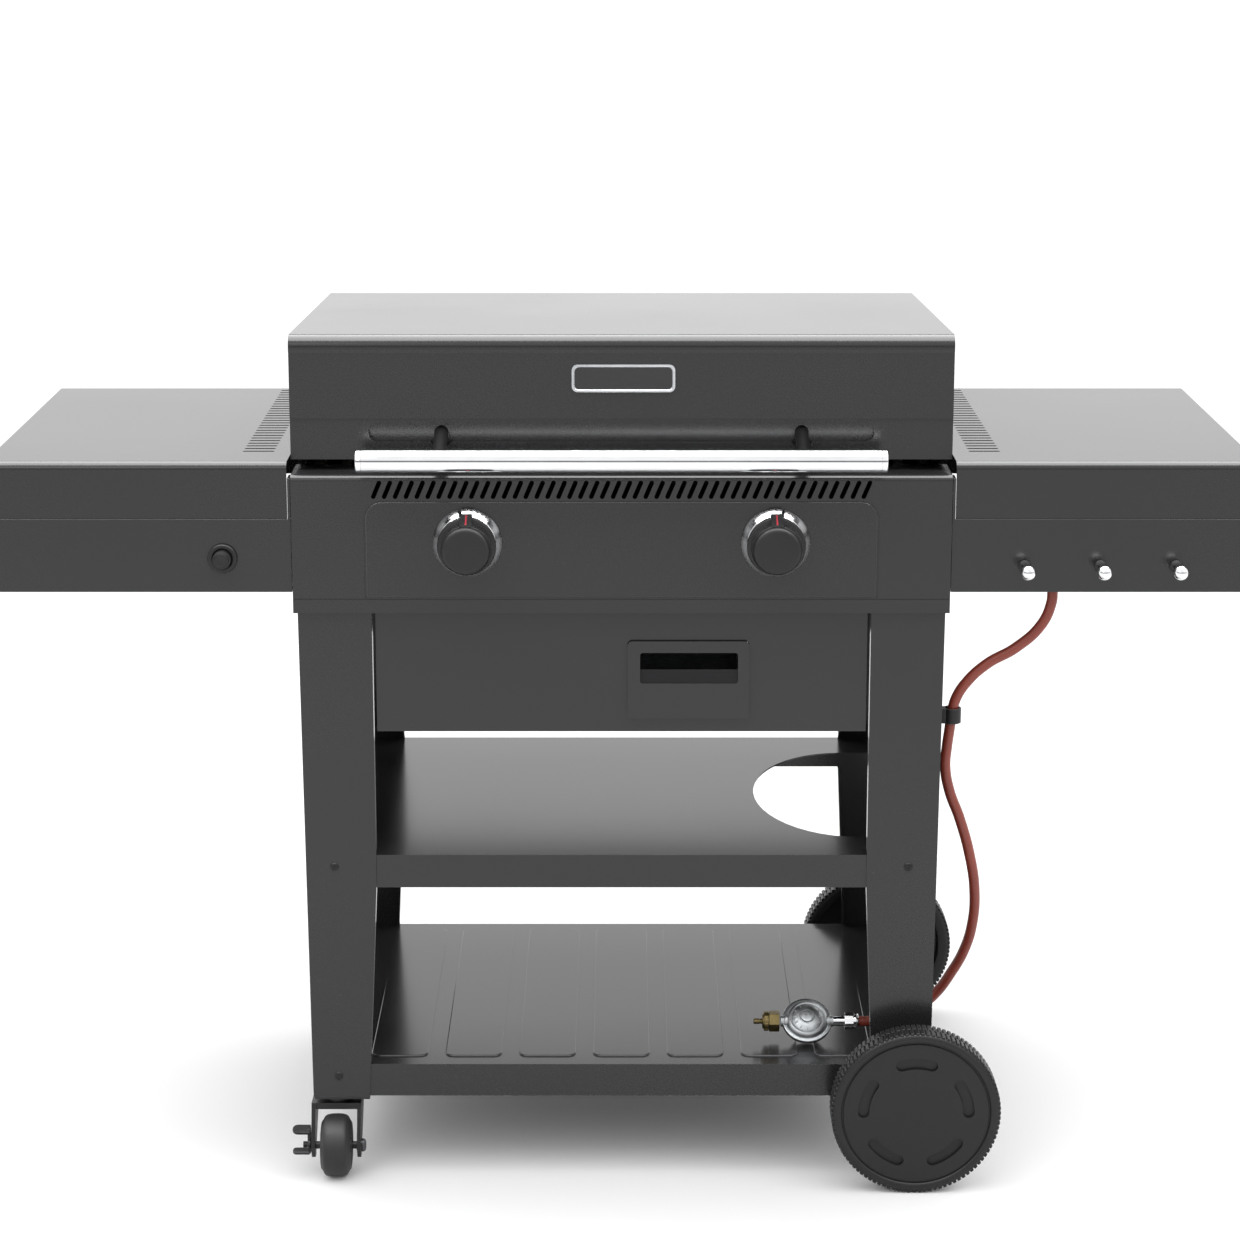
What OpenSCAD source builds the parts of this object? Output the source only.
// Two-burner gas barbecue grill on a wheeled cart, with fixed side shelves and a hinged lid.
// X runs to the right as seen from the front, the front faces -Y, Z is up and the floor is Z = 0.
// Depths in the nodes are measured from the face of the control panel, then moved to the middle.

/* [Overall] */
// width of the control panel and the box behind it
box_w = 664; // [600:1:740]
// width over both side shelves
span_w = 1280; // [1200:1:1400]
// height of the rim that the lid closes over
rim_z = 751; // [735:1:800]
// depth of the leg frame, front face to back face
frame_d = 462; // [420:1:480]

/* [Lid] */
// height of the lid's front above its lower edge
lid_h = 126; // [100:1:160]
// fall of the lid's top from front to back
lid_fall = 22; // [10:1:40]
// depth of the lid, front face to back face
lid_d = 500; // [495:1:520]
// outside radius of the handle bar
handle_r = 12; // [10:0.5:14]
// length of the handle bar
handle_len = 529; // [440:1:560]
// distance between the two handle posts
post_gap = 364; // [300:1:420]

/* [Side shelves] */
// height of the side shelf tops
shelf_z = 764; // [764:1:790]
// depth of a side shelf
shelf_d = 470; // [420:1:480]
// height of the folded skirt round a side shelf
skirt_h = 62; // [50:1:70]

/* [Cart] */
// width of a leg's front face at the top
leg_w = 75; // [60:1:85]
// depth of a leg's side flange
leg_flange = 75; // [66:1:85]
// height of the middle shelf
mid_z = 352; // [330:1:400]
// height of the lower shelf
low_z = 123; // [123:1:150]
// height of the lips folded down round the two shelves
lip_h = 35; // [25:1:35]
// depth of the front and back aprons below the box
apron_h = 116; // [108:1:140]

/* [Wheels] */
// radius of the two large wheels
wheel_r = 88; // [80:1:90]
// width of a large wheel
wheel_w = 30; // [24:1:32]
// radius of a caster's wheel
caster_r = 33; // [30:0.5:34]
// width of a caster's wheel
caster_w = 32; // [30:1:37]

/* [Controls] */
// distance between the two burner knobs
knob_gap = 310; // [260:1:340]
// radius of a knob's grip
knob_r = 24; // [20:0.5:25]
// how far a knob stands out of the panel
knob_out = 48; // [40:1:60]
// depth a knob is pushed in before it turns
knob_push = 4; // [2:0.5:4]
// number of louvre slots across the panel
vent_count = 46; // [20:1:46]

/* [Hidden] */
$fn = 48;
t = 1.5;            // pressed sheet
leg_t = 2;          // leg sheet
fit = 0.3;          // clearance between neighbouring pieces
run = 0.06;         // running clearance of a shaft in its hole, on the radius
eps = 1;            // overshoot of a cut

half_w = box_w / 2;
half_span = span_w / 2;

// pivot of the lid behind the box
lid_front = 27;
lid_back = lid_front + lid_d;
lid_half = half_w + 2;
lid_gap = 11;
lid_z = rim_z + lid_gap;
lid_top = lid_z + lid_h;
knuckle_r = 7;
pin_r = 4;
hinge_y = lid_back + knuckle_r;
hinge_z = rim_z + 1;
hinge_x = 240;
hinge_w = 28;

// everything is moved so that the middle of the depth is at Y = 0
panel_y = -(hinge_y + knuckle_r - knob_out) / 2;

// legs
leg_y = 4;
leg_out_top = half_w - 4;
leg_out_low = half_w - 9;
leg_in = leg_out_top - leg_w;
leg_in_low = leg_in + 11;
leg_bend_z = 320;
face_z = 611;
apron_half = leg_in - 3;
apron_y = 8;
apron_fold = 14;
leg_top = 690;
caster_leg_z = 87.5;
axle_leg_z = 70;
leg_return = 12;
flange_gap = 4;     // from a shelf's top to the leg's inner flange above it
back_y = leg_y + frame_d;
screw_x = 296;
screw_r = 2.5;
screw_head = 4.5;
screw_drop = 12;
tray_half = leg_out_low - leg_t - 1;
leg_slope = (leg_out_top - leg_out_low) / (face_z - caster_leg_z);

// fire box
tub_half = leg_out_top - leg_t;
tub_y0 = 62;
tub_y1 = lid_back - 9;
tub_z0 = 612;
tub_z1 = rim_z - t;
ledge_z = 727;
ledge_w = 14;
drain_x = 68;
drain_y = 200;
drain_r = 14;

// burners, valves and gas pipe
control_z = 682.5;
burner_r = 14;
burner_y0 = 50;
burner_y1 = tub_y1 - 40;
pipe_r = 8;
pipe_y = 34;
pipe_z = 655;
valve_y0 = 20;
valve_y1 = 42;
valve_half = 11;
stem_r = 4;
collar_y = 10;
collar_t = 4;
stem_end = 28;
stem_front = -20;
inlet_x = 440;
inlet_half = 11;
spigot_z = 628;

// panel
emboss = 1;
emboss_half = 257.5;
emboss_z = 724;
emboss_r = 17;
groove_w = 1.8;
groove_in = 0.7;
band_z = 625;
panel_z0 = 609.5;
apron_z0 = panel_z0 - apron_h - 10;
vent_pitch = 492 / 45;
vent_z = 736.5;
vent_h = 20;
vent_w = 4.6;
vent_lean = 23;
bezel_r = 35;
bezel_in = 30.5;
bezel_h = 11;
knob_back = -emboss - t - knob_push;

// lid front: step, trough and handle
step_z = rim_z + 53;
step_in = 3;
hem_h = 2;
hem_in = 1.5;
roll_r = 12;
back_roll = 8;
trough_z = rim_z + 39;
trough_half = 255;
trough_h = 20;
trough_in = 8;
handle_y = -22;
handle_z = rim_z + 19;
post_r = 7;
post_tilt = 17;
dimple_r = 12;
dimple_z = trough_z - 4;
cap_t = 6;

// tray under the fire box
tray_x0 = 16;
tray_x1 = 120;
tray_y1 = 300;
tray_z0 = 502;
tray_z1 = 546;
tray_lip = 7;
rail_y0 = tub_y0 + ledge_w + fit;
plate_x0 = 6;
plate_x1 = 130;
plate_z0 = 498;
plate_z1 = 579;
plate_lap = 1.5;
pull_x0 = 19;
pull_x1 = 118.5;
pull_z0 = 535;
pull_z1 = 567;
scoop_z = 555;
scoop_in = 12;

// side shelves
shelf_in = lid_half + 2;
shelf_y = 3;
shelf_roll = 8;
slot_x0 = 354;
slot_len = 32;
slot_w = 5;
slot_count = 27;
slot_pitch = 15.4;
slot_y0 = 65;
skirt_z = shelf_z - skirt_h;
fascia_z0 = 631;
fascia_up = 4;
fascia_in = half_w + 0.5;
fascia_y = shelf_y - t;
cheek_w = 3;
cheek_z = rim_z - 3;
bar_w = 20;
bar_x1 = 600;
bar_y = [100, 400];
hook_x0 = 406.5;
hook_pitch = 76.3;
hook_z = 658;
hook_out = 34;
hook_ball = 7.8;
hook_stem = 4;
igniter_x = -402;
igniter_z = 666;
button_r = 9.5;
button_push = 5;

// shelves of the cart
bite_x = 250;
bite_y = 233;
bite_a = 105;
bite_b = 164;
bite_steps = 48;
panel_count = 7;
panel_pitch = 78;
panel_w = 60;
panel_up = 1.5;

// wheels and axle
axle_x = 305;
axle_r = 5;
wheel_y0 = -46;
wheel_gap = leg_y - wheel_y0 - wheel_w;
hub_r = 14;
rim_in = 12;
web_t = 10;
tread_notch = 3;
tread_count = 40;
disc_r = 74;

// casters
caster_x = -300;
caster_y = 30;
trail = 25;
fork_half = 26;
fork_t = 4;
crown_t = 7;
kingpin_r = 8;
plate_t = 3;
crown_z = 78;
caster_back_y = back_y - caster_y;

// gas hose, by the points its middle passes through
hose_r = 5.5;
hose_sides = 10;
hose_path = [[440, 34, 628], [439, 34, 612], [429, 36, 588], [404, 38, 564], [376, 40, 547],
    [356, 41, 528], [345, 42, 510], [341, 42, 494], [339, 42, 477], [337, 44, 458], [336, 47, 435],
    [341, 50, 409], [353, 54, 377], [365, 61, 336], [372, 68, 296], [372, 77, 256], [365, 86, 222],
    [352, 93, 193], [336, 97, 168], [317, 96, 152], [298, 88, 145], [281, 80, 144], [266, 78, 144]];
clip_z = [484, 500];
clip_x = 341.2;
clip_y = 42;
clip_slack = 1.8;
reg_x = 198;
reg_y = 78;
reg_z = 144;
reg_r = 26.5;
reg_tilt = 40;

// ---- small helpers ----

module placed() {
    translate([0, panel_y, 0]) children();
}

// block between two corners
module block(x, y, z) {
    translate([x[0], y[0], z[0]]) cube([x[1] - x[0], y[1] - y[0], z[1] - z[0]]);
}

module rod_x(x, y, z, r) {
    translate([x[0], y, z]) rotate([0, 90, 0]) cylinder(h = x[1] - x[0], r = r);
}

module rod_y(x, y, z, r) {
    translate([x, y[1], z]) rotate([90, 0, 0]) cylinder(h = y[1] - y[0], r = r);
}

module rod_z(x, y, z, r) {
    translate([x, y, z[0]]) cylinder(h = z[1] - z[0], r = r);
}

// outline drawn in X and Z, thickened along Y
module slab_y(y) {
    translate([0, y[1], 0]) rotate([90, 0, 0]) linear_extrude(height = y[1] - y[0]) children();
}

// outline drawn in Y and Z, thickened along X
module slab_x(x) {
    translate([x[0], 0, 0]) rotate([90, 0, 90]) linear_extrude(height = x[1] - x[0]) children();
}

// upright rectangle with rounded corners
module round_rect(a, b, r) {
    translate([a[0] + r, b[0]]) square([a[1] - a[0] - 2 * r, b[1] - b[0]]);
    translate([a[0], b[0] + r]) square([a[1] - a[0], b[1] - b[0] - 2 * r]);
    for (u = [a[0] + r, a[1] - r], v = [b[0] + r, b[1] - r]) translate([u, v]) circle(r = r);
}

// ---- cart ----

// leg on the right, front face outline down to the height z0
module leg_outline(z0, z1) {
    polygon([[leg_in, z1], [leg_out_top, z1], [leg_out_top, face_z],
        [leg_out_top - leg_slope * (face_z - z0), z0], [leg_in_low, z0], [leg_in, leg_bend_z]]);
}

module leg_side(z0) {
    polygon([[leg_out_top - leg_t, leg_top], [leg_out_top, leg_top], [leg_out_top, face_z],
        [leg_out_top - leg_slope * (face_z - z0), z0], [leg_out_top - leg_t - leg_slope * (face_z - z0), z0],
        [leg_out_top - leg_t, face_z]]);
}

module leg_inner(z0) {
    polygon([[leg_in, face_z], [leg_in + leg_t, face_z], [leg_in + leg_t, leg_bend_z],
        [leg_in_low + leg_t, z0], [leg_in_low, z0], [leg_in, leg_bend_z]]);
}

// front leg on the right; the back leg is its mirror image about the middle of the frame
module leg(z0, holes, gas) {
    difference() {
        union() {
            slab_y([leg_y, leg_y + leg_t]) leg_outline(z0, face_z);
            slab_y([leg_y, leg_y + leg_flange]) leg_side(z0);
            slab_y([leg_y, leg_y + leg_return]) leg_inner(z0);
        }
        for (z = [mid_z, low_z]) {
            block([leg_in - eps, leg_in_low + leg_t + eps], [leg_y + leg_t, leg_y + leg_return + eps],
                [z - lip_h - fit, z + flange_gap]);
            rod_y(screw_x, [leg_y - eps, leg_y + leg_t + eps], z - screw_drop, screw_r);
        }
        if (holes) rod_y(axle_x, [leg_y - eps, leg_y + leg_t + eps], wheel_r, axle_r);
        if (gas) rod_x([leg_out_top - leg_t - eps, leg_out_top + eps], pipe_y, pipe_z, pipe_r + fit);
    }
}

module to_back() {
    translate([0, 2 * leg_y + frame_d, 0]) mirror([0, 1, 0]) children();
}

module leg_front_right() color([0.26, 0.26, 0.27]) placed() leg(axle_leg_z, true, true);

module leg_front_left() color([0.26, 0.26, 0.27]) placed() mirror([1, 0, 0]) leg(caster_leg_z, false, false);

module leg_back_right() color([0.26, 0.26, 0.27]) placed() to_back() leg(axle_leg_z, true, false);

module leg_back_left() color([0.26, 0.26, 0.27]) placed() to_back() mirror([1, 0, 0]) leg(caster_leg_z, false, false);

// sheet across the front or back of the frame, folded back at its ends and foot
module apron() {
    block([-apron_half, apron_half], [apron_y, apron_y + t], [apron_z0, tub_z0]);
    block([-apron_half, apron_half], [apron_y, apron_y + apron_fold], [apron_z0, apron_z0 + t]);
    for (s = [-1, 1]) mirror([s < 0 ? 1 : 0, 0, 0])
        block([apron_half - t, apron_half], [apron_y, apron_y + apron_fold], [apron_z0, tub_z0]);
    block([-apron_half, apron_half], [apron_y, tub_y0 + ledge_w], [tub_z0 - t, tub_z0]);
}

module front_apron() color([0.26, 0.26, 0.27]) placed() difference() {
    apron();
    block([plate_x0 + plate_lap, plate_x1 - plate_lap], [apron_y - eps, apron_y + t + eps],
        [plate_z0 + plate_lap, plate_z1 - plate_lap]);
}

module back_apron() color([0.26, 0.26, 0.27]) placed() to_back() apron();

module side_apron() {
    block([tub_half - 1.8 - t, tub_half - 1.8], [leg_y + leg_return + 2, back_y - leg_return - 2], [486, tub_z0]);
    block([tub_half - 16, tub_half - 1.8], [leg_y + leg_return + 2, back_y - leg_return - 2], [486, 486 + t]);
    block([tub_half - 16, tub_half - 1.8], [leg_y + leg_return + 2, back_y - leg_return - 2], [tub_z0 - t, tub_z0]);
}

module side_apron_right() color([0.26, 0.26, 0.27]) placed() side_apron();

module side_apron_left() color([0.26, 0.26, 0.27]) placed() mirror([1, 0, 0]) side_apron();

// pressed shelf with lips folded down on all four sides
module pressed_shelf(z) {
    y0 = leg_y + leg_t;
    y1 = back_y - leg_t;
    difference() {
        block([-tray_half, tray_half], [y0, y1], [z - lip_h, z]);
        block([-tray_half + t, tray_half - t], [y0 + t, y1 - t], [z - lip_h - eps, z - t]);
        for (s = [-1, 1]) rod_y(s * screw_x, [y0 - eps, y1 + eps], z - screw_drop, screw_r);
    }
}

module middle_shelf() color([0.26, 0.26, 0.27]) placed() difference() {
    pressed_shelf(mid_z);
    translate([0, 0, mid_z - lip_h - eps]) linear_extrude(height = lip_h + 2 * eps) {
        translate([bite_x, bite_y])
            polygon([for (k = [0:bite_steps - 1]) [bite_a * cos(360 * k / bite_steps), bite_b * sin(360 * k / bite_steps)]]);
        translate([bite_x, bite_y - bite_b]) square([tray_half - bite_x + eps, 2 * bite_b]);
    }
}

module lower_shelf() color([0.26, 0.26, 0.27]) placed() {
    difference() {
        pressed_shelf(low_z);
        block([axle_x - axle_r - fit, axle_x + axle_r + fit], [0, back_y + eps], [0, wheel_r + axle_r + fit]);
    }
    for (k = [0:panel_count - 1])
        translate([0, 0, low_z]) linear_extrude(height = panel_up)
            round_rect([(k - (panel_count - 1) / 2) * panel_pitch - panel_w / 2,
                (k - (panel_count - 1) / 2) * panel_pitch + panel_w / 2], [leg_y + 24, back_y - 24], 10);
}

module shelf_screws() color([0.15, 0.15, 0.16]) placed()
    for (s = [-1, 1], z = [mid_z, low_z], b = [0, 1])
        translate([0, b * (2 * leg_y + frame_d), 0]) mirror([0, b, 0]) union() {
            rod_y(s * screw_x, [leg_y - 2, leg_y], z - screw_drop, screw_head);
            rod_y(s * screw_x, [leg_y, leg_y + 8], z - screw_drop, screw_r);
        }

module axle() color([0.75, 0.75, 0.77]) placed()
    rod_y(axle_x, [wheel_y0 + web_t + 1, back_y + wheel_gap + wheel_w - web_t - 1], wheel_r, axle_r);

// moulded wheel at the front, its closed face to -Y
module big_wheel() {
    difference() {
        union() {
            for (k = [0, 1])
                translate([0, wheel_y0 + (k + 1) * wheel_w / 2, 0]) rotate([90, 0, 0])
                    linear_extrude(height = wheel_w / 2) difference() {
                        circle(r = wheel_r, $fn = 96);
                        circle(r = disc_r, $fn = 96);
                        for (n = [0:tread_count - 1]) rotate(360 * (n + k / 2) / tread_count)
                            translate([wheel_r - tread_notch, -2.2]) square([tread_notch + eps, 4.4]);
                    }
            rod_y(0, [wheel_y0 + 1, wheel_y0 + 1 + web_t], 0, disc_r + 1);
            rod_y(0, [wheel_y0 + web_t, leg_y - 1], 0, hub_r);
            for (a = [0:72:359]) rotate([0, a + 54, 0])
                block([hub_r - 2, disc_r + 1], [wheel_y0 + web_t, wheel_y0 + wheel_w - 4], [-2, 2]);
        }
        rod_y(0, [wheel_y0 + web_t, leg_y], 0, axle_r + run);
        slab_y([wheel_y0 - eps, wheel_y0 + 2.5]) difference() {
            circle(r = disc_r, $fn = 96);
            circle(r = disc_r - 2, $fn = 96);
        }
        for (a = [0:72:359]) rotate([0, -a, 0]) slab_y([wheel_y0 - eps, wheel_y0 + 6]) intersection() {
            difference() {
                circle(r = 60.5, $fn = 96);
                circle(r = 53.5, $fn = 96);
            }
            polygon([[0, 0], [-35, 80], [35, 80]]);
        }
    }
}

module wheel_front() color([0.12, 0.12, 0.13]) placed() translate([axle_x, 0, wheel_r]) big_wheel();

module wheel_back() color([0.12, 0.12, 0.13]) placed() to_back() translate([axle_x, 0, wheel_r]) big_wheel();

module caster_plates() color([0.3, 0.3, 0.31]) placed()
    for (y = [caster_y, caster_back_y]) difference() {
        block([caster_x - 22, caster_x + 36], [y - 26, y + 26], [caster_leg_z - plate_t, caster_leg_z]);
        rod_z(caster_x, y, [caster_leg_z - plate_t - eps, caster_leg_z + eps], kingpin_r + run);
    }

// fork with its kingpin and axle bolt, about the swivel line
module caster_fork() {
    difference() {
        union() {
            for (s = [-1, 1]) mirror([s < 0 ? 1 : 0, 0, 0])
                slab_x([fork_half - fork_t, fork_half]) union() {
                    polygon([[-trail - 11, caster_r], [-trail - 4, caster_r - 12], [-trail + 4, caster_r - 12],
                        [-trail + 12, caster_r], [16, crown_z - 14], [18, crown_z], [-20, crown_z]]);
                }
            block([-fork_half, fork_half], [-20, 18], [crown_z - crown_t, crown_z]);
            rod_z(0, 0, [crown_z, crown_z + 6], 17);
            rod_z(0, 0, [crown_z, caster_leg_z + 5], kingpin_r);
            rod_x([-fork_half - 9, fork_half + 4], -trail, caster_r, 4);
            rod_x([fork_half, fork_half + 5], -trail, caster_r, 7);
        }
    }
}

module caster_fork_front() color([0.2, 0.2, 0.21]) placed() translate([caster_x, caster_y, 0]) caster_fork();

module caster_fork_back() color([0.2, 0.2, 0.21]) placed() translate([caster_x, caster_back_y, 0]) caster_fork();

module caster_wheel() {
    difference() {
        rotate([0, 90, 0]) rotate_extrude() polygon([[4 + run, -caster_w / 2], [caster_r - 9, -caster_w / 2],
            [caster_r - 6, -caster_w / 2 + 3], [caster_r - 3, -caster_w / 2 + 3], [caster_r, -caster_w / 2 + 8],
            [caster_r, caster_w / 2 - 8], [caster_r - 3, caster_w / 2 - 3], [caster_r - 6, caster_w / 2 - 3],
            [caster_r - 9, caster_w / 2], [4 + run, caster_w / 2]]);
    }
}

module caster_wheel_front() color([0.1, 0.1, 0.11]) placed()
    translate([caster_x, caster_y - trail, caster_r]) caster_wheel();

module caster_wheel_back() color([0.1, 0.1, 0.11]) placed()
    translate([caster_x, caster_back_y - trail, caster_r]) caster_wheel();

// two-toed pedal on the left cheek of a fork, about the axle bolt
module brake_lever() {
    difference() {
        union() {
            rod_x([-fork_half - 4, -fork_half - 1], 0, 0, 9);
            block([-fork_half - 4, -fork_half - 1], [-6, 5], [-2, 19]);
            block([-fork_half - 20, -fork_half - 1], [-7, 5], [16.5, 19]);
            block([-fork_half - 19, -fork_half - 1], [-16, -8], [-3, -0.5]);
            block([-fork_half - 4, -fork_half - 1], [-16, -5], [-3, 3]);
        }
        rod_x([-fork_half - 5, -fork_half], 0, 0, 4 + run);
    }
}

module brake_lever_front() color([0.16, 0.16, 0.17]) placed()
    translate([caster_x, caster_y - trail, caster_r]) brake_lever();

module brake_lever_back() color([0.16, 0.16, 0.17]) placed()
    translate([caster_x, caster_back_y - trail, caster_r]) brake_lever();

// ---- fire box and gas ----

module firebox() color([0.2, 0.2, 0.21]) placed() difference() {
    union() {
        difference() {
            block([-tub_half, tub_half], [tub_y0, tub_y1], [tub_z0, tub_z1]);
            block([-tub_half + t, tub_half - t], [tub_y0 + t, tub_y1 - t], [tub_z0 + t, tub_z1 + eps]);
        }
        block([-tub_half + t, tub_half - t], [tub_y0 + t, tub_y0 + t + ledge_w], [ledge_z - t, ledge_z]);
        block([-tub_half + t, tub_half - t], [tub_y1 - t - ledge_w, tub_y1 - t], [ledge_z - t, ledge_z]);
    }
    rod_z(drain_x, drain_y, [tub_z0 - eps, tub_z0 + t + eps], drain_r);
    for (s = [-1, 1]) rod_y(s * knob_gap / 2, [tub_y0 - eps, tub_y0 + t + eps], control_z, burner_r + fit);
}

module burners() color([0.6, 0.6, 0.6]) placed() for (s = [-1, 1]) difference() {
    rod_y(s * knob_gap / 2, [burner_y0, burner_y1], control_z, burner_r);
    rod_y(s * knob_gap / 2, [burner_y0 - eps, burner_y1 - t], control_z, burner_r - t);
    for (k = [0:17]) rod_x([s * knob_gap / 2 - burner_r - eps, s * knob_gap / 2 + burner_r + eps],
        110 + 19 * k, control_z + 4, 1.5);
}

module flame_tamers() color([0.5, 0.5, 0.5]) placed() for (s = [-1, 1])
    translate([s * knob_gap / 2, 0, 0]) slab_y([tub_y0 + t, tub_y1 - t])
        polygon([[-62, 699], [0, 717], [62, 699], [62, 697.4], [0, 715.4], [-62, 697.4]]);

module cooking_grates() color([0.1, 0.1, 0.1]) placed() for (s = [-1, 1]) difference() {
    block([s > 0 ? 2 : -tub_half + t + 2, s > 0 ? tub_half - t - 2 : -2],
        [tub_y0 + t + 2, tub_y1 - t - 2], [ledge_z, ledge_z + 10]);
    for (k = [0:11]) block([s * (tub_half / 2) - 151 + 25.5 * k + 3, s * (tub_half / 2) - 151 + 25.5 * k + 21],
        [tub_y0 + t + 18, (tub_y0 + tub_y1) / 2 - 5], [ledge_z - eps, ledge_z + 10 + eps]);
    for (k = [0:11]) block([s * (tub_half / 2) - 151 + 25.5 * k + 3, s * (tub_half / 2) - 151 + 25.5 * k + 21],
        [(tub_y0 + tub_y1) / 2 + 5, tub_y1 - t - 18], [ledge_z - eps, ledge_z + 10 + eps]);
}

module ignition_electrodes() color([0.9, 0.88, 0.84]) placed() for (s = [-1, 1]) union() {
    rod_y(s * knob_gap / 2 + 24, [tub_y0 + t, 100], control_z + 2, 3.5);
    rod_y(s * knob_gap / 2 + 24, [100, 118], control_z + 2, 1);
}

module gas_manifold() color([0.7, 0.7, 0.7]) placed()
    rod_x([-knob_gap / 2 - 30, inlet_x - inlet_half], pipe_y, pipe_z, pipe_r);

module burner_valves() color([0.72, 0.58, 0.3]) placed() for (s = [-1, 1]) difference() {
    union() {
        block([s * knob_gap / 2 - valve_half, s * knob_gap / 2 + valve_half], [valve_y0, valve_y1 + 5], [pipe_z + 1, control_z + 12]);
        rod_y(s * knob_gap / 2, [valve_y1, valve_y1 + 14], control_z, 4);
    }
    rod_x([s * knob_gap / 2 - valve_half - eps, s * knob_gap / 2 + valve_half + eps], pipe_y, pipe_z, pipe_r);
    rod_y(s * knob_gap / 2, [valve_y0 - eps, stem_end + knob_push + 2], control_z, stem_r + run);
}

module gas_inlet() color([0.72, 0.58, 0.3]) placed() {
    block([inlet_x - inlet_half, inlet_x + inlet_half], [pipe_y - inlet_half, pipe_y + inlet_half], [pipe_z - inlet_half, pipe_z + inlet_half]);
    rod_z(inlet_x, pipe_y, [spigot_z + 6, pipe_z - inlet_half], 9);
    rod_z(inlet_x, pipe_y, [spigot_z, spigot_z + 6], 7);
}

// ---- control panel ----

module vents() {
    for (k = [0:vent_count - 1])
        translate([(k - (vent_count - 1) / 2) * vent_pitch, vent_z]) rotate(-vent_lean) {
            square([vent_w, vent_h - vent_w], center = true);
            for (e = [-1, 1]) translate([0, e * (vent_h - vent_w) / 2]) circle(d = vent_w, $fn = 16);
        }
}

// outline of the panel's raised field, square at its foot
module pressed_field(grow) {
    round_rect([-emboss_half - grow, emboss_half + grow], [band_z + 20, emboss_z + grow], emboss_r + grow);
    translate([-emboss_half - grow, band_z + 1]) square([2 * (emboss_half + grow), 60]);
}

module control_panel() color([0.26, 0.26, 0.27]) placed() difference() {
    union() {
        slab_x([-half_w, half_w]) difference() {
            union() {
                translate([0, panel_z0]) square([tub_y0, rim_z - panel_z0 - 6]);
                translate([6, panel_z0]) square([tub_y0 - 6, rim_z - panel_z0]);
                translate([6, rim_z - 6]) circle(r = 6);
            }
            translate([t, panel_z0 - eps]) square([tub_y0, rim_z - panel_z0 - 6 + eps]);
            translate([6, panel_z0 - eps]) square([tub_y0, rim_z - panel_z0 - t + eps]);
            translate([6, rim_z - 6]) circle(r = 6 - t);
        }
        for (s = [-1, 1]) mirror([s < 0 ? 1 : 0, 0, 0])
            block([half_w - t, half_w], [6, tub_y0], [panel_z0, rim_z - t / 2]);
        for (s = [-1, 1]) mirror([s < 0 ? 1 : 0, 0, 0])
            block([half_w - t, half_w], [t / 2, 6 + eps], [panel_z0, rim_z - 6]);
        slab_y([-emboss, t / 2]) pressed_field(0);
    }
    block([-half_w - eps, half_w + eps], [-eps, groove_in], [band_z - 1.5, band_z]);
    slab_y([-eps, groove_in]) difference() {
        pressed_field(groove_w);
        pressed_field(0);
    }
    slab_y([-eps, t + eps]) vents();
    for (s = [-1, 1]) rod_y(s * knob_gap / 2, [-emboss - eps, t + eps], control_z, 12);
    rod_x([half_w - t - eps, half_w + eps], pipe_y, pipe_z, pipe_r + fit);
}

module knob_bezels() color([0.8, 0.8, 0.82]) placed() for (s = [-1, 1])
    translate([s * knob_gap / 2, -emboss, control_z]) rotate([90, 0, 0]) rotate_extrude($fn = 96)
        polygon([[12, 0], [bezel_r, 0], [bezel_r, 2], [bezel_r - 1, 7], [bezel_r - 2.2, bezel_h - 1],
            [bezel_r - 3, bezel_h], [bezel_in + 0.6, bezel_h], [bezel_in, bezel_h - 1], [bezel_in, t], [12, t]]);

// knob with a ribbed grip, domed face and pointer, its back at Y = 0 and its face to -Y
module knob() {
    long = knob_out + knob_back;
    difference() {
        union() {
            rotate([90, 0, 0]) linear_extrude(height = long - 4) difference() {
                circle(r = knob_r, $fn = 96);
                for (n = [0:35]) rotate(10 * n + 5) translate([knob_r + 0.4, 0]) circle(r = 1.2, $fn = 12);
            }
            translate([0, -long + 4, 0]) rotate([90, 0, 0]) rotate_extrude($fn = 96)
                polygon([[0, -1], [knob_r - 1.4, -1], [knob_r - 1.4, 0.6], [knob_r - 2, 2], [knob_r - 3.4, 3], [knob_r - 9, 3.7], [0, 4]]);
            rod_y(0, [-5, 0], 0, knob_r + 3);
            block([-4.5, 4.5], [-22, -2], [knob_r - 3, knob_r + 5.5]);
        }
        rod_y(0, [stem_front - knob_back - 0.5, eps], 0, stem_r);
    }
}

module knob_left() color([0.13, 0.13, 0.14]) placed() translate([-knob_gap / 2, knob_back, control_z]) knob();

module knob_right() color([0.13, 0.13, 0.14]) placed() translate([knob_gap / 2, knob_back, control_z]) knob();

module stem_left() color([0.72, 0.58, 0.3]) placed() rod_y(-knob_gap / 2, [stem_front, stem_end], control_z, stem_r);

module stem_right() color([0.72, 0.58, 0.3]) placed() rod_y(knob_gap / 2, [stem_front, stem_end], control_z, stem_r);

module collar(x) {
    difference() {
        rod_y(x, [collar_y, collar_y + collar_t], control_z, 8);
        rod_y(x, [collar_y - eps, collar_y + collar_t + eps], control_z, stem_r + run);
    }
}

module collar_left() color([0.72, 0.58, 0.3]) placed() collar(-knob_gap / 2);

module collar_right() color([0.72, 0.58, 0.3]) placed() collar(knob_gap / 2);

// ---- tray ----

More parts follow.
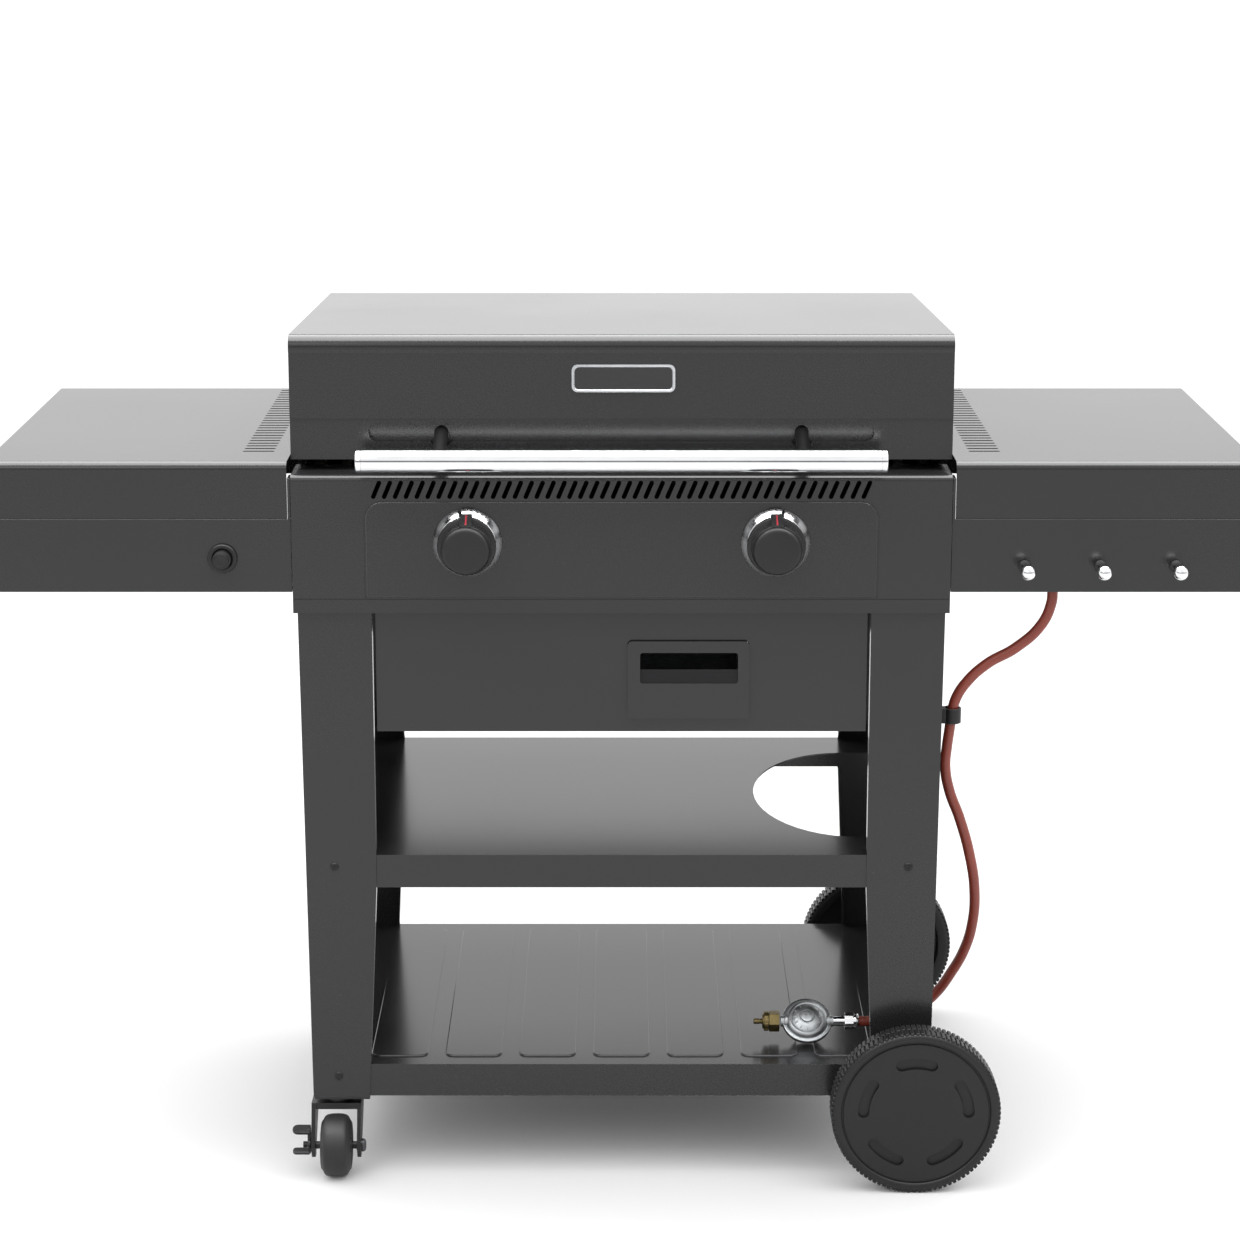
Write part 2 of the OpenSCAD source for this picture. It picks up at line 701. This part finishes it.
module grease_tray() color([0.6, 0.6, 0.6]) placed() {
    difference() {
        block([tray_x0, tray_x1], [apron_y, tray_y1], [tray_z0, tray_z1]);
        block([tray_x0 + t, tray_x1 - t], [apron_y + t, tray_y1 - t], [tray_z0 + t, tray_z1 + eps]);
    }
    block([tray_x0 - tray_lip, tray_x0 + t], [apron_y + 4, tray_y1], [tray_z1 - t, tray_z1]);
    block([tray_x1 - t, tray_x1 + tray_lip], [apron_y + 4, tray_y1], [tray_z1 - t, tray_z1]);
}

module tray_front() color([0.26, 0.26, 0.27]) placed() {
    difference() {
        slab_y([apron_y - 4, apron_y - 4 + t]) round_rect([plate_x0, plate_x1], [plate_z0, plate_z1], 5);
        slab_y([apron_y - 5, apron_y]) round_rect([pull_x0, pull_x1], [pull_z0, pull_z1], 3);
    }
    translate([0, 0, 0]) slab_x([pull_x0 - t, pull_x1 + t])
        polygon([[apron_y - 4 + t, pull_z0 - 3], [apron_y - 4 + t, pull_z0 - 1], [apron_y - 0.2, scoop_z - 6],
            [apron_y - 0.2, scoop_z - 9]]);
    block([plate_x0 + 12, pull_x0 - t], [apron_y - 4 + t, apron_y], [tray_z0, tray_z1 - 4]);
    block([tray_x0, tray_x1], [apron_y - 4 + t, apron_y], [tray_z0, tray_z0 + 20]);
}

module tray_rails() color([0.6, 0.6, 0.6]) placed() for (s = [-1, 1])
    translate([(tray_x0 + tray_x1) / 2, 0, 0]) mirror([s < 0 ? 1 : 0, 0, 0]) union() {
        block([(tray_x1 - tray_x0) / 2 + tray_lip + fit, (tray_x1 - tray_x0) / 2 + tray_lip + fit + t],
            [rail_y0, tray_y1], [tray_z1 - t - fit - t, tub_z0]);
        block([(tray_x1 - tray_x0) / 2 + 2, (tray_x1 - tray_x0) / 2 + tray_lip + fit + t],
            [rail_y0, tray_y1], [tray_z1 - t - fit - t, tray_z1 - t - fit]);
    }

// ---- side shelves ----

module shelf_profile(in) {
    difference() {
        union() {
            translate([shelf_y + in, skirt_z - eps * in]) square([shelf_d - 2 * in, skirt_h - shelf_roll + eps * in]);
            translate([shelf_y + shelf_roll, skirt_z]) square([shelf_d - 2 * shelf_roll, skirt_h - in]);
            for (y = [shelf_y + shelf_roll, shelf_y + shelf_d - shelf_roll])
                translate([y, shelf_z - shelf_roll]) circle(r = shelf_roll - in);
        }
    }
}

module side_shelf() {
    difference() {
        slab_x([shelf_in, half_span]) shelf_profile(0);
        slab_x([shelf_in - eps, half_span - t]) shelf_profile(t);
        for (k = [0:slot_count - 1])
            translate([0, 0, shelf_z - t - eps]) linear_extrude(height = t + 2 * eps)
                round_rect([slot_x0, slot_x0 + slot_len], [slot_y0 + slot_pitch * k - slot_w / 2, slot_y0 + slot_pitch * k + slot_w / 2], 2);
    }
}

module side_shelf_right() color([0.26, 0.26, 0.27]) placed() side_shelf();

module side_shelf_left() color([0.26, 0.26, 0.27]) placed() mirror([1, 0, 0]) side_shelf();

module fascia() {
    y0 = fascia_y;
    block([fascia_in, half_span - t - fit], [y0, y0 + t], [fascia_z0, skirt_z + fascia_up]);
    block([fascia_in, half_span - t - fit], [y0, y0 + 20], [fascia_z0, fascia_z0 + t]);
    block([half_span - 2 * t - fit, half_span - t - fit], [y0, y0 + 40], [fascia_z0, skirt_z]);
    block([fascia_in, fascia_in + cheek_w], [y0, y0 + 20], [fascia_z0, cheek_z]);
}

module fascia_right() color([0.26, 0.26, 0.27]) placed() difference() {
    fascia();
    for (k = [0:2]) rod_y(hook_x0 + hook_pitch * k, [0, 10], hook_z, hook_stem);
}

module fascia_left() color([0.26, 0.26, 0.27]) placed() difference() {
    mirror([1, 0, 0]) fascia();
    rod_y(igniter_x, [0, 10], igniter_z, 11.5);
}

module shelf_bars() color([0.24, 0.24, 0.25]) placed() for (s = [-1, 1], y = bar_y)
    mirror([s < 0 ? 1 : 0, 0, 0]) union() {
        block([tub_half, shelf_in + 2], [y, y + bar_w], [shelf_z - 30, shelf_z - 8]);
        block([shelf_in + 2, bar_x1], [y, y + bar_w], [shelf_z - 30, shelf_z - t]);
    }

module tool_hooks() color([0.8, 0.8, 0.82]) placed() for (k = [0:2])
    translate([hook_x0 + hook_pitch * k, 0, hook_z]) rotate([90, 0, 0]) rotate_extrude($fn = 48)
        polygon(concat([[0, -fascia_y - 12], [hook_stem, -fascia_y - 12], [hook_stem, -fascia_y],
            [hook_stem + 2.5, -fascia_y], [hook_stem + 2.5, -fascia_y + 2.5], [hook_stem - 1, -fascia_y + 4.5],
            [hook_stem - 1, hook_out - 12]],
            [for (a = [-60:15:90]) [hook_ball * cos(a), hook_out - 8 + 3 + hook_ball * sin(a)]]));

module igniter_housing() color([0.1, 0.1, 0.1]) placed() difference() {
    union() {
        rod_y(igniter_x, [-3, fascia_y], igniter_z, 15);
        rod_y(igniter_x, [-1, 40], igniter_z, 11.5);
        rod_y(igniter_x, [fascia_y + t, fascia_y + t + 5], igniter_z, 15);
    }
    rod_y(igniter_x, [-4, 32], igniter_z, button_r + run);
}

module igniter_button() color([0.12, 0.12, 0.12]) placed() union() {
    rod_y(igniter_x, [-10, 25], igniter_z, button_r);
    rod_y(igniter_x, [-13, -10], igniter_z, button_r - 2);
}

// ---- lid ----

module lid_section(in) {
    z1 = lid_z + lid_h;
    z2 = z1 - lid_fall;
    low = in > 0 ? eps : 0;
    translate([lid_front + step_in + in, lid_z - low]) square([60, step_z - lid_z + low]);
    translate([lid_front + hem_in + in, step_z + in]) square([60, z1 - roll_r - step_z - in]);
    translate([lid_front + in, z1 - roll_r - hem_h + in]) square([60, hem_h - in]);
    translate([lid_front + roll_r, z1 - roll_r]) circle(r = roll_r - in);
    translate([lid_back - back_roll, z2 - back_roll]) circle(r = back_roll - in);
    polygon([[lid_front + step_in + in + 10, lid_z - low], [lid_front + step_in + in + 10, z1 - roll_r],
        [lid_front + roll_r, z1 - in], [lid_back - back_roll, z2 - in],
        [lid_back - in, z2 - back_roll], [lid_back - in, lid_z - low]]);
}

module trough_outline(grow) {
    round_rect([-trough_half - grow, trough_half + grow], [trough_z - trough_h / 2 - grow, trough_z + trough_h / 2 + grow],
        trough_h / 2 + grow - 0.5);
    for (s = [-1, 1]) translate([s * post_gap / 2, dimple_z]) circle(r = dimple_r + grow);
}

module lid_shell() color([0.26, 0.26, 0.27]) placed() difference() {
    union() {
        difference() {
            slab_x([-lid_half, lid_half]) lid_section(0);
            slab_x([-lid_half + t, lid_half - t]) lid_section(t);
        }
        slab_y([lid_front + step_in, lid_front + step_in + trough_in + t]) trough_outline(t);
    }
    slab_y([lid_front, lid_front + step_in + trough_in]) trough_outline(0);
}

module post_line(s, r) {
    translate([s * post_gap / 2, handle_y, handle_z]) rotate([-90 + post_tilt, 0, 0]) cylinder(h = 90, r = r);
}

module handle_posts() color([0.2, 0.2, 0.21]) placed() for (s = [-1, 1]) difference() {
    intersection() {
        post_line(s, post_r);
        block([s * post_gap / 2 - 20, s * post_gap / 2 + 20], [handle_y, lid_front + step_in + trough_in], [rim_z, rim_z + 80]);
    }
    rod_x([s * post_gap / 2 - 30, s * post_gap / 2 + 30], handle_y, handle_z, handle_r);
}

module handle_bar() color([0.8, 0.8, 0.82]) placed() difference() {
    rod_x([-handle_len / 2, handle_len / 2], handle_y, handle_z, handle_r);
    rod_x([-handle_len / 2 + cap_t, handle_len / 2 - cap_t], handle_y, handle_z, handle_r - t);
}

module lid_badge() color([0.7, 0.7, 0.72]) placed()
    slab_y([lid_front + hem_in - 2, lid_front + hem_in]) round_rect([-50, 54], [rim_z + 80, rim_z + 108], 6);

// ---- hinge ----

module hinge_brackets() color([0.25, 0.25, 0.26]) placed() for (s = [-1, 1]) translate([s * hinge_x, 0, 0]) union() {
    block([-hinge_w / 2 - 6, hinge_w / 2 + 6], [tub_y1, tub_y1 + 2], [hinge_z - 45, hinge_z - 8]);
    for (e = [-1, 1]) mirror([e < 0 ? 1 : 0, 0, 0]) slab_x([hinge_w / 2 + fit, hinge_w / 2 + 3 + fit]) union() {
        translate([hinge_y, hinge_z]) circle(r = knuckle_r);
        polygon([[tub_y1 + 2, hinge_z - 45], [tub_y1 + 2, hinge_z - 8], [hinge_y - 5, hinge_z + 3],
            [hinge_y + 5, hinge_z - 3], [hinge_y + 2, hinge_z - 14]]);
    }
    rod_x([-hinge_w / 2 - 5, hinge_w / 2 + 5], hinge_y, hinge_z, pin_r);
}

module hinge_leaves() color([0.25, 0.25, 0.26]) placed() for (s = [-1, 1]) translate([s * hinge_x, 0, 0]) difference() {
    union() {
        rod_x([-hinge_w / 2, hinge_w / 2], hinge_y, hinge_z, knuckle_r - 0.5);
        block([-hinge_w / 2, hinge_w / 2], [lid_back, lid_back + 3], [hinge_z, lid_z + 60]);
        block([-hinge_w / 2, hinge_w / 2], [lid_back, hinge_y], [hinge_z, hinge_z + 5]);
    }
    rod_x([-hinge_w, hinge_w], hinge_y, hinge_z, pin_r + run);
}

// ---- hose, clip and regulator ----

module hose_clip() color([0.08, 0.08, 0.08]) placed() difference() {
    union() {
        rod_z(clip_x, clip_y, clip_z, hose_r + clip_slack + 2);
        block([leg_out_low, clip_x], [clip_y - 6, clip_y + 6], clip_z);
    }
    rod_z(clip_x, clip_y, [clip_z[0] - eps, clip_z[1] + eps], hose_r + clip_slack);
    slab_y([20, 60]) polygon([[leg_out_top + eps, 700], [leg_out_top, face_z], [leg_out_low, face_z - (leg_out_top - leg_out_low) / leg_slope],
        [leg_out_low - 20, 0], [200, 0], [200, 700]]);
}

function unit(v) = v / norm(v);
function ring(p, d, r, n) = let (u = unit(cross(d, [0, 1, 0])), w = cross(d, u))
    [for (k = [0:n - 1]) p + r * (cos(360 * k / n) * u + sin(360 * k / n) * w)];

module gas_hose() color([0.55, 0.2, 0.14]) placed() {
    n = hose_sides;
    m = len(hose_path);
    rings = [for (k = [0:m - 1]) ring(hose_path[k], k == 0 ? [0, 0, -1] : k == m - 1 ? [-1, 0, 0]
        : unit(hose_path[k + 1] - hose_path[k - 1]), hose_r, n)];
    polyhedron(points = [for (r = rings) each r],
        faces = concat([[for (k = [0:n - 1]) k]], [[for (k = [n - 1:-1:0]) (m - 1) * n + k]],
            [for (i = [0:m - 2], k = [0:n - 1]) [i * n + k, (i + 1) * n + k, (i + 1) * n + (k + 1) % n, i * n + (k + 1) % n]]));
}

module hose_ferrule() color([0.8, 0.8, 0.82]) placed() {
    rod_x([248, 266], reg_y, reg_z, 8);
    translate([238, reg_y, reg_z]) rotate([0, 90, 0]) cylinder(h = 10, r = 9, $fn = 6);
    rod_x([226, 238], reg_y, reg_z, 5);
}

module regulator() color([0.7, 0.71, 0.72]) placed() union() {
    translate([reg_x, reg_y, reg_z]) rotate([reg_tilt, 0, 0]) rotate_extrude($fn = 64)
        polygon([[0, -12], [15, -12], [20, -6], [20, -2], [reg_r, -2], [reg_r, 3], [22, 3], [20, 8], [13, 11], [0, 12]]);
    rod_x([reg_x, 226], reg_y, reg_z, 6);
    rod_x([170, reg_x], reg_y, reg_z, 6);
}

module regulator_nut() color([0.72, 0.58, 0.3]) placed() {
    translate([154, reg_y, reg_z]) rotate([0, 90, 0]) cylinder(h = 16, r = 11.5, $fn = 6);
    rod_x([149, 154], reg_y, reg_z, 8);
    rod_x([141, 149], reg_y, reg_z, 3);
}

leg_front_left();
leg_front_right();
leg_back_left();
leg_back_right();
front_apron();
back_apron();
side_apron_left();
side_apron_right();
middle_shelf();
lower_shelf();
firebox();
control_panel();
knob_bezels();
gas_manifold();
burner_valves();
gas_inlet();
burners();
flame_tamers();
cooking_grates();
ignition_electrodes();
side_shelf_left();
side_shelf_right();
fascia_left();
fascia_right();
shelf_bars();
tool_hooks();
igniter_housing();
tray_rails();
hinge_brackets();
axle();
shelf_screws();
hose_clip();
gas_hose();
hose_ferrule();
regulator();
regulator_nut();
caster_plates();
lid_shell();
handle_bar();
handle_posts();
lid_badge();
hinge_leaves();
knob_left();
knob_right();
stem_left();
stem_right();
collar_left();
collar_right();
igniter_button();
grease_tray();
tray_front();
wheel_front();
wheel_back();
caster_fork_front();
caster_fork_back();
caster_wheel_front();
caster_wheel_back();
brake_lever_front();
brake_lever_back();
